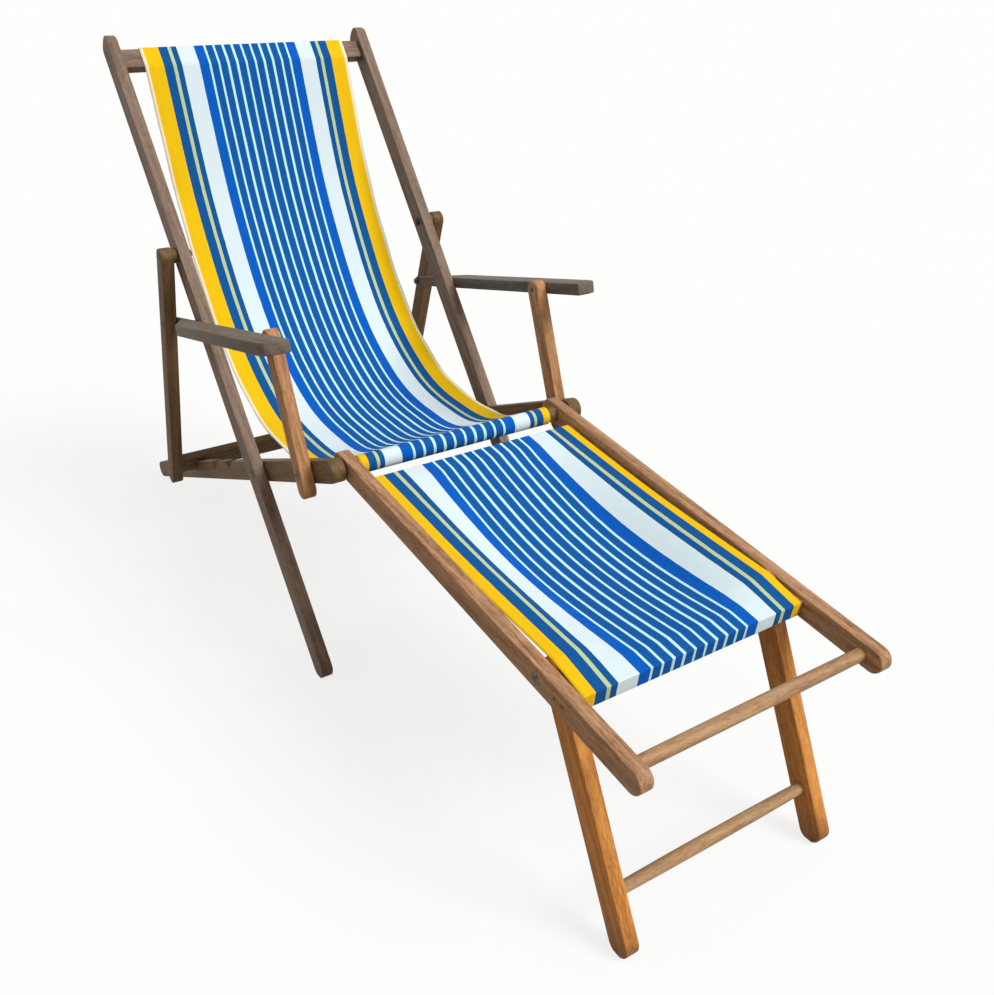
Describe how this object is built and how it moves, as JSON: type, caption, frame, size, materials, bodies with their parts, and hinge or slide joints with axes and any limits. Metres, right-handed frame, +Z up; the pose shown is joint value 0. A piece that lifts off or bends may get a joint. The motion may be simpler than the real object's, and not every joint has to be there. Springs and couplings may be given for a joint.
{
  "type": "folding deck chair",
  "caption": "Wooden folding deck chair with arms, hanging striped canvas seat, adjustable back and a canvas leg rest on folding legs.",
  "frame": {"origin": "on the floor under the middle of the chair", "axes": "+Y from the leg rest to the back, +X to the sitter's left hand as they look towards the leg rest, +Z up"},
  "size_m": [0.638, 1.8703, 1.0387],
  "materials": {
    "back_wood": "oiled hardwood, weathered greyish brown",
    "seat_wood": "oiled hardwood, dark brown",
    "arm_wood": "worn dark grey-brown hardwood",
    "strut_wood": "warm brown hardwood",
    "leg_wood": "orange-brown hardwood",
    "rest_wood": "oiled hardwood, brown",
    "rung_wood": "pale turned hardwood",
    "canvas": "woven cotton canvas with lengthwise stripes",
    "bolt_steel": "dull zinc-plated steel",
    "screw_brass": "dull brass"
  },
  "bodies": {
    "seat_frame": {"seat_rail_left": "seat_wood", "seat_rail_right": "seat_wood", "seat_front_bar": "rest_wood", "seat_rear_bar": "seat_wood", "seat_bar_screws": "screw_brass", "seat_pivot_bolts": "bolt_steel", "seat_pivot_nuts": "bolt_steel", "seat_pivot_washers": "bolt_steel", "seat_sling_front_tacks": "screw_brass"},
    "back_frame": {"back_rail_left": "back_wood", "back_rail_right": "back_wood", "back_top_bar": "back_wood", "back_bar_screws": "screw_brass", "seat_sling": "canvas", "seat_sling_top_tacks": "screw_brass", "prop_spacers": "seat_wood", "prop_pivot_bolts": "bolt_steel", "prop_pivot_nuts": "bolt_steel"},
    "prop_frame": {"prop_leg_left": "seat_wood", "prop_leg_right": "seat_wood", "prop_cross_bar": "seat_wood", "prop_bar_screws": "screw_brass", "arm_pivot_bolts": "bolt_steel", "arm_pivot_nuts": "bolt_steel"},
    "strut_left": {"strut_left": "strut_wood"},
    "strut_right": {"strut_right": "strut_wood"},
    "arm_left": {"arm_left": "arm_wood", "arm_screw_left": "bolt_steel"},
    "arm_right": {"arm_right": "arm_wood", "arm_screw_right": "bolt_steel"},
    "leg_rest": {"leg_rest_rail_left": "rest_wood", "leg_rest_rail_right": "rest_wood", "leg_rest_rear_bar": "rest_wood", "leg_rest_front_bar": "rest_wood", "leg_rest_rung": "rung_wood", "leg_rest_bar_screws": "screw_brass", "leg_rest_sling": "canvas", "leg_rest_tacks": "screw_brass", "leg_pivot_bolts": "bolt_steel", "leg_pivot_nuts": "bolt_steel"},
    "leg_rest_legs": {"leg_left": "leg_wood", "leg_right": "leg_wood", "leg_rung": "rung_wood"}
  },
  "joints": [
    {"name": "back_tilt", "type": "hinge", "parent": "seat_frame", "child": "back_frame", "pos_m": [0, 0.12514, 0.32672], "axis": [1, 0, 0], "range_deg": [0, 20], "deforming": ["seat_sling"]},
    {"name": "prop_hinge", "type": "hinge", "parent": "back_frame", "child": "prop_frame", "pos_m": [0, 0.38719, 0.67958], "axis": [1, 0, 0], "range_deg": [-14, 0]},
    {"name": "strut_hinge_left", "type": "hinge", "parent": "seat_frame", "child": "strut_left", "pos_m": [0, -0.11244, 0.41935], "axis": [1, 0, 0], "range_deg": [0, 33.4]},
    {"name": "arm_hinge_left", "type": "hinge", "parent": "strut_left", "child": "arm_left", "pos_m": [0, -0.03926, 0.6319], "axis": [1, 0, 0], "range_deg": [-25.5, 0]},
    {"name": "strut_hinge_right", "type": "hinge", "parent": "seat_frame", "child": "strut_right", "pos_m": [0, -0.11244, 0.41935], "axis": [1, 0, 0], "range_deg": [0, 33.4]},
    {"name": "arm_hinge_right", "type": "hinge", "parent": "strut_right", "child": "arm_right", "pos_m": [0, -0.03926, 0.6319], "axis": [1, 0, 0], "range_deg": [-25.5, 0]},
    {"name": "leg_rest_hinge", "type": "hinge", "parent": "seat_frame", "child": "leg_rest", "pos_m": [0, -0.18512, 0.44768], "axis": [1, 0, 0], "range_deg": [-60, 20]},
    {"name": "leg_fold", "type": "hinge", "parent": "leg_rest", "child": "leg_rest_legs", "pos_m": [0, -0.72625, 0.36777], "axis": [1, 0, 0], "range_deg": [0, 116]}
  ],
  "couplings": [
    {"joint": "prop_hinge", "follows": "back_tilt", "ratio": -0.7},
    {"joint": "strut_hinge_left", "follows": "back_tilt", "ratio": 1.6678},
    {"joint": "arm_hinge_left", "follows": "back_tilt", "ratio": -1.2709},
    {"joint": "strut_hinge_right", "follows": "back_tilt", "ratio": 1.6678},
    {"joint": "arm_hinge_right", "follows": "back_tilt", "ratio": -1.2709}
  ]
}
